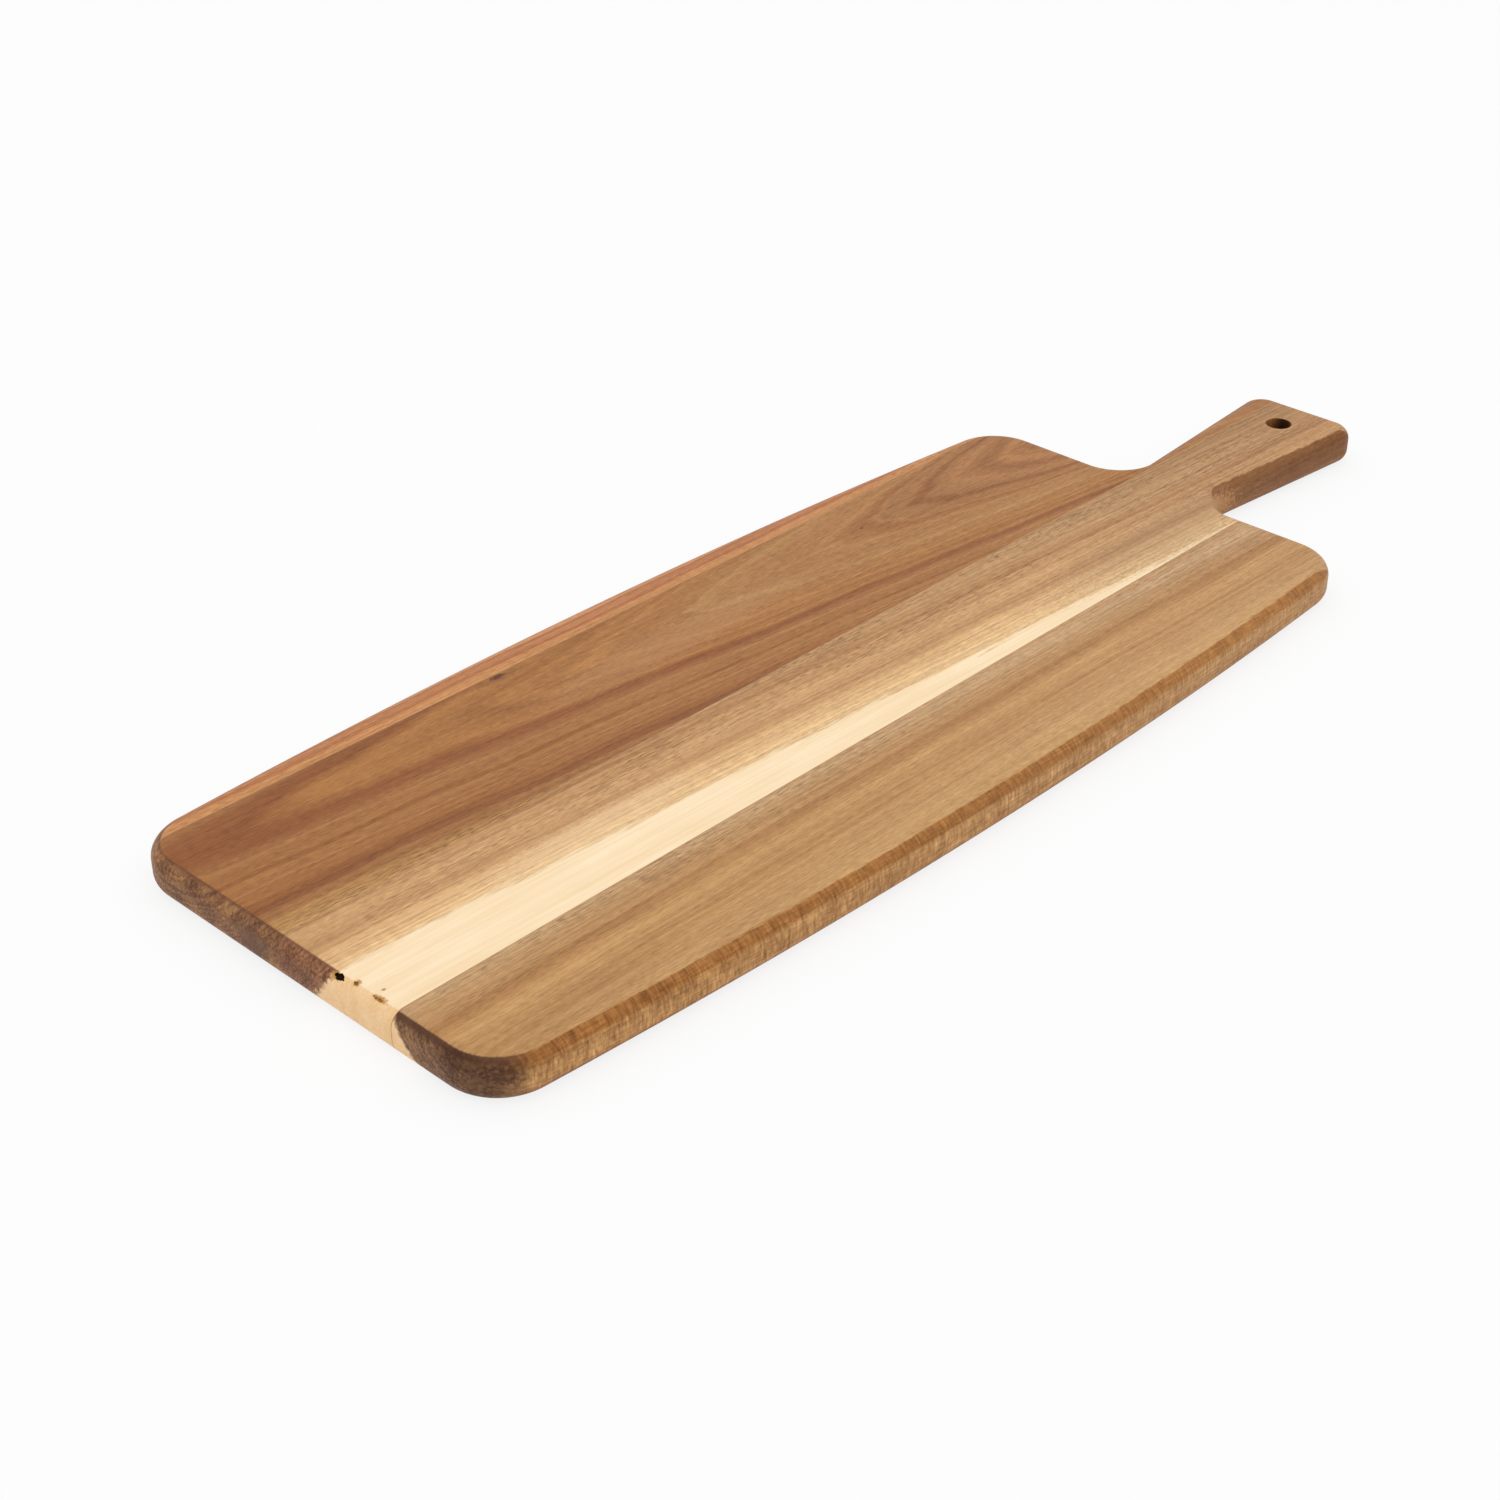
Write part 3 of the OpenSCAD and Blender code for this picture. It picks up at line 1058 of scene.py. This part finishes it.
BARK_POCKET = TornFibre(name="torn_bark_pocket", tones=("#140c06", "#3a2614"))
TORN_EDGE = TornFibre(name="torn_sapwood_oil_stained", tones=("#8a5a22", "#d8a85e"))
# The hole's wall is in darker tones than the face, darkest on the end grain that faces along the board:
# partly oil-soaked wood and partly painted shade deep in the hole
DRILLED_WALL = TornFibre(
    name="acacia_drilled_wall_oil_soaked_and_shaded", tones=("#7b4d27", "#9b653a"), end_oil_and_shade=0.12,
)


@dataclass(frozen=True)
class PanelStrip:
    """One piece of the panel, between two glue planes or a glue plane and the board's own edge."""

    panel: PaddlePanel
    node: str
    slot: Slot
    finish: OiledAcacia | DriedGlue
    near_side: float | None
    far_side: float | None
    ending: ClassVar[str]

    def build(self) -> Piece:
        """Cuts the piece out of the panel, and stands it for its CAD node.

        Returns:
            The piece.
        """
        piece = hand_over(self.panel.strip(self.near_side, self.far_side), self.node + self.ending)
        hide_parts(self.node)
        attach(piece, "root")
        return piece


@dataclass(frozen=True)
class Stave(PanelStrip):
    """One stave of the panel."""

    finish: OiledAcacia
    ending: ClassVar[str] = "_wood"

    def dress(self, piece: Piece) -> None:
        """Gives the stave its wood."""
        length = self.panel.outline.overall_length
        piece.data.materials.append(self.finish.material(-length / 2, length))


@dataclass(frozen=True)
class GlueFilm(PanelStrip):
    """The film of glue between two staves."""

    finish: DriedGlue
    ending: ClassVar[str] = "_film"

    def dress(self, piece: Piece) -> None:
        """Gives the film its dried glue."""
        piece.data.materials.append(self.finish.material())


@dataclass(frozen=True)
class TornPit:
    """A place on a stave's rim where a bit of weak wood broke away."""

    place: Place
    reach: Place
    finish: TornFibre
    unevenness: float = 0.45
    coarse_lumps: float = 1.4
    fine_lumps: float = 3.1
    fine_share: float = 0.5
    apart: float = 7.3
    subdivisions: int = 4

    def cutter(self, number: int) -> Piece:
        """A lumpy blob the shape of the wood that is gone.

        Args:
            number: Which pit it is, so that no two are alike.

        Returns:
            The blob, with the torn surface as its material.
        """
        mesh = bmesh.new()
        bmesh.ops.create_icosphere(mesh, subdivisions=self.subdivisions, radius=1.0)
        for vertex in mesh.verts:
            spot = vertex.co + Vector((self.apart * number, 0, 0))
            fine = self.fine_share * noise.noise(spot * self.fine_lumps)
            lump = noise.noise(spot * self.coarse_lumps) + fine
            vertex.co *= 1 + self.unevenness * lump
        bmesh.ops.scale(mesh, vec=self.reach, verts=mesh.verts)
        bmesh.ops.translate(mesh, vec=self.place, verts=mesh.verts)
        blob = hand_over(mesh, f"torn_pit_{number}")
        blob.data.materials.append(self.finish.material())
        return blob


@dataclass(frozen=True)
class HandleStave(Stave):
    """The stave that carries the handle, with its hanging hole and the torn pits on its square end."""

    pits: tuple[TornPit, ...]
    hole_finish: TornFibre
    hole_diameter: float = 10.0
    hole_from_tip: float = 21.6
    hole_ease: float = 0.35
    hole_sides: int = 96
    drill_past: float = 1.0

    def dress(self, piece: Piece) -> None:
        """Gives the stave its wood, then drills its hole and breaks out its pits."""
        super().dress(piece)
        cut_away(piece, self.drill())
        for number, pit in enumerate(self.pits):
            cut_away(piece, pit.cutter(number))

    def drill(self) -> Piece:
        """The shape of the hanging hole, with both its rims eased by a touch of sandpaper.

        Returns:
            The shape to cut away, with the hole's wall as its material.
        """
        past = self.drill_past
        ease = self.hole_ease
        top = self.panel.thickness
        narrow = self.hole_diameter / 2
        wide = narrow + ease
        profile = (
            (wide + past, -past), (wide, 0.0), (narrow, ease),
            (narrow, top - ease), (wide, top), (wide + past, top + past),
        )
        middle = self.panel.outline.overall_length / 2 - self.hole_from_tip
        turns = [2 * math.pi * side / self.hole_sides for side in range(self.hole_sides)]
        rings = [
            [(middle + radius * math.cos(turn), radius * math.sin(turn), height) for turn in turns]
            for radius, height in profile
        ]
        mesh = bmesh.new()
        skin_rings(mesh, rings)
        drill = hand_over(mesh, "hanging_hole")
        drill.data.materials.append(self.hole_finish.material())
        return drill


@dataclass(frozen=True)
class PaddleBoard:
    """The whole board: its panel, where it is glued, and what each stave is."""

    panel: PaddlePanel = PaddlePanel()
    far_line: float = 81.0
    middle_line: float = 11.5
    near_line: float = -41.0
    glue_thickness: float = 0.2

    def pits(self) -> tuple[TornPit, ...]:
        """The three places on the square end's rim where the sapwood broke away."""
        end = -self.panel.outline.overall_length / 2
        bark = {"finish": BARK_POCKET, "unevenness": 0.35}
        return (
            TornPit(place=(end + 2.5, -18.2, 13.9), reach=(1.3, 2.1, 0.9), **bark),
            TornPit(place=(end + 3.2, -24.6, 14.5), reach=(0.8, 1.0, 0.5), finish=TORN_EDGE),
            TornPit(place=(end + 3.0, -34.8, 14.4), reach=(0.7, 2.4, 0.5), finish=TORN_EDGE),
        )

    def staves(self) -> list[Stave]:
        """The four staves, from the far edge to the near one."""
        half = self.glue_thickness / 2
        return [
            Stave(
                self.panel, "far_edge_stave", Slot.RED_BROWN, RED_BROWN,
                near_side=self.far_line + half, far_side=None,
            ),
            Stave(
                self.panel, "wide_stave", Slot.DARK_BROWN, DARK_BROWN,
                near_side=self.middle_line + half, far_side=self.far_line - half,
            ),
            HandleStave(
                self.panel, "handle_stave", Slot.WITH_SAPWOOD, WITH_SAPWOOD,
                near_side=self.near_line + half, far_side=self.middle_line - half,
                pits=self.pits(), hole_finish=DRILLED_WALL,
            ),
            Stave(
                self.panel, "near_edge_stave", Slot.GOLDEN_BROWN, GOLDEN_BROWN,
                near_side=None, far_side=self.near_line - half,
            ),
        ]

    def films(self) -> list[GlueFilm]:
        """The three glue films, from the far one to the near one."""
        half = self.glue_thickness / 2
        glue = DriedGlue()
        lines = {
            "far_glue_line": self.far_line,
            "middle_glue_line": self.middle_line,
            "near_glue_line": self.near_line,
        }
        return [
            GlueFilm(self.panel, node, Slot.GLUE, glue, near_side=line - half, far_side=line + half)
            for node, line in lines.items()
        ]


@dataclass(frozen=True)
class Softbox:
    """A square studio lamp behind a diffuser."""

    name: str
    place: Place
    aim: Place
    width: float
    watts: float

    def build(self) -> None:
        """Hangs the lamp and points it."""
        lamp = bpy.data.lights.new(self.name, "AREA")
        lamp.size = self.width
        lamp.energy = self.watts
        piece = bpy.data.objects.new(self.name, lamp)
        piece.location = self.place
        towards = Vector(self.aim) - Vector(self.place)
        piece.rotation_euler = towards.to_track_quat("-Z", "Y").to_euler()
        bpy.context.scene.collection.objects.link(piece)


@dataclass(frozen=True)
class Studio:
    """A white table under soft light, and the camera.

    Its places and sizes are in metres, its angles in degrees, and the camera's lens and sensor in mm.
    """

    floor_width: float = 8.0
    floor_colour: str = "#f4f4f4"
    floor_glow: float = 0.82
    sky: float = 0.88
    camera_azimuth: float = -46.32
    camera_elevation: float = 31.82
    camera_distance: float = 0.87078
    camera_aim: Place = (-0.07637, -0.00226, 0.0)
    lens: float = 60.96
    sensor_width: float = 36.0
    lamps: tuple[Softbox, ...] = (
        Softbox("overhead_softbox", (-0.1, 0.1, 1.3), (0.0, 0.0, 0.0), 1.3, 3.0),
    )

    def build(self) -> None:
        """Sets the floor, the lamps, the white surroundings and the camera."""
        scene = bpy.context.scene
        scene.view_settings.view_transform = "Standard"
        self.build_floor()
        self.build_world()
        for lamp in self.lamps:
            lamp.build()
        self.build_camera()

    def build_floor(self) -> None:
        """A pale table top that is white to the camera, and still takes the board's shadow."""
        mesh = bmesh.new()
        bmesh.ops.create_grid(mesh, x_segments=1, y_segments=1, size=self.floor_width / 2 / MM)
        floor = hand_over(mesh, "white_table")
        paint, tree = new_material("matte_white_laminate")
        matte = add(tree, "BsdfDiffuse", {"Color": linear(self.floor_colour)})
        glow = add(tree, "Emission", {"Color": WHITE, "Strength": 1.0})
        share = add(tree, "Math", (self.seen(tree), self.floor_glow), operation="MULTIPLY")
        end_tree(tree, add(tree, "MixShader", (share, matte, glow)))
        floor.data.materials.append(paint)

    @staticmethod
    def seen(tree: Tree) -> Socket:
        """1 for what is seen straight, in a reflection or through glass, and 0 for what only gives light.

        Args:
            tree: The node tree that asks.

        Returns:
            The switch.
        """
        straight = add(tree, "LightPath", out="Is Camera Ray")
        glossy = add(tree, "LightPath", out="Is Glossy Ray")
        through = add(tree, "LightPath", out="Is Transmission Ray")
        seen = add(tree, "Math", (straight, glossy), operation="MAXIMUM")
        return add(tree, "Math", (seen, through), operation="MAXIMUM")

    def build_world(self) -> None:
        """White surroundings, which give the board a soft fill."""
        world = bpy.data.worlds.new("white_studio")
        world.use_nodes = True
        tree = world.node_tree
        tree.nodes.clear()
        strength = add(tree, "MapRange", (self.seen(tree), 0.0, 1.0, self.sky, 1.0))
        light = add(tree, "Background", {"Color": WHITE, "Strength": strength})
        end_tree(tree, light, "ShaderNodeOutputWorld")
        bpy.context.scene.world = world

    def build_camera(self) -> None:
        """The camera at the photograph's viewing angle, for a square picture."""
        azimuth = math.radians(self.camera_azimuth)
        elevation = math.radians(self.camera_elevation)
        level = math.cos(elevation)
        back = Vector((math.sin(azimuth) * level, -math.cos(azimuth) * level, math.sin(elevation)))
        data = bpy.data.cameras.new("camera")
        data.sensor_width = self.sensor_width
        data.lens = self.lens
        camera = bpy.data.objects.new("camera", data)
        camera.location = Vector(self.camera_aim) + back * self.camera_distance
        camera.rotation_euler = back.to_track_quat("Z", "Y").to_euler()
        bpy.context.scene.collection.objects.link(camera)
        bpy.context.scene.camera = camera


def main() -> None:
    """Builds the studio and the board, and says what each piece is."""
    logging.basicConfig(level=logging.INFO)
    Studio().build()
    board = PaddleBoard()
    for strip in (*board.staves(), *board.films()):
        piece = strip.build()
        strip.dress(piece)
        log.info("%s: %d faces, %s", piece.name, len(piece.data.polygons), strip.finish.name)


if __name__ == "__main__":
    main()
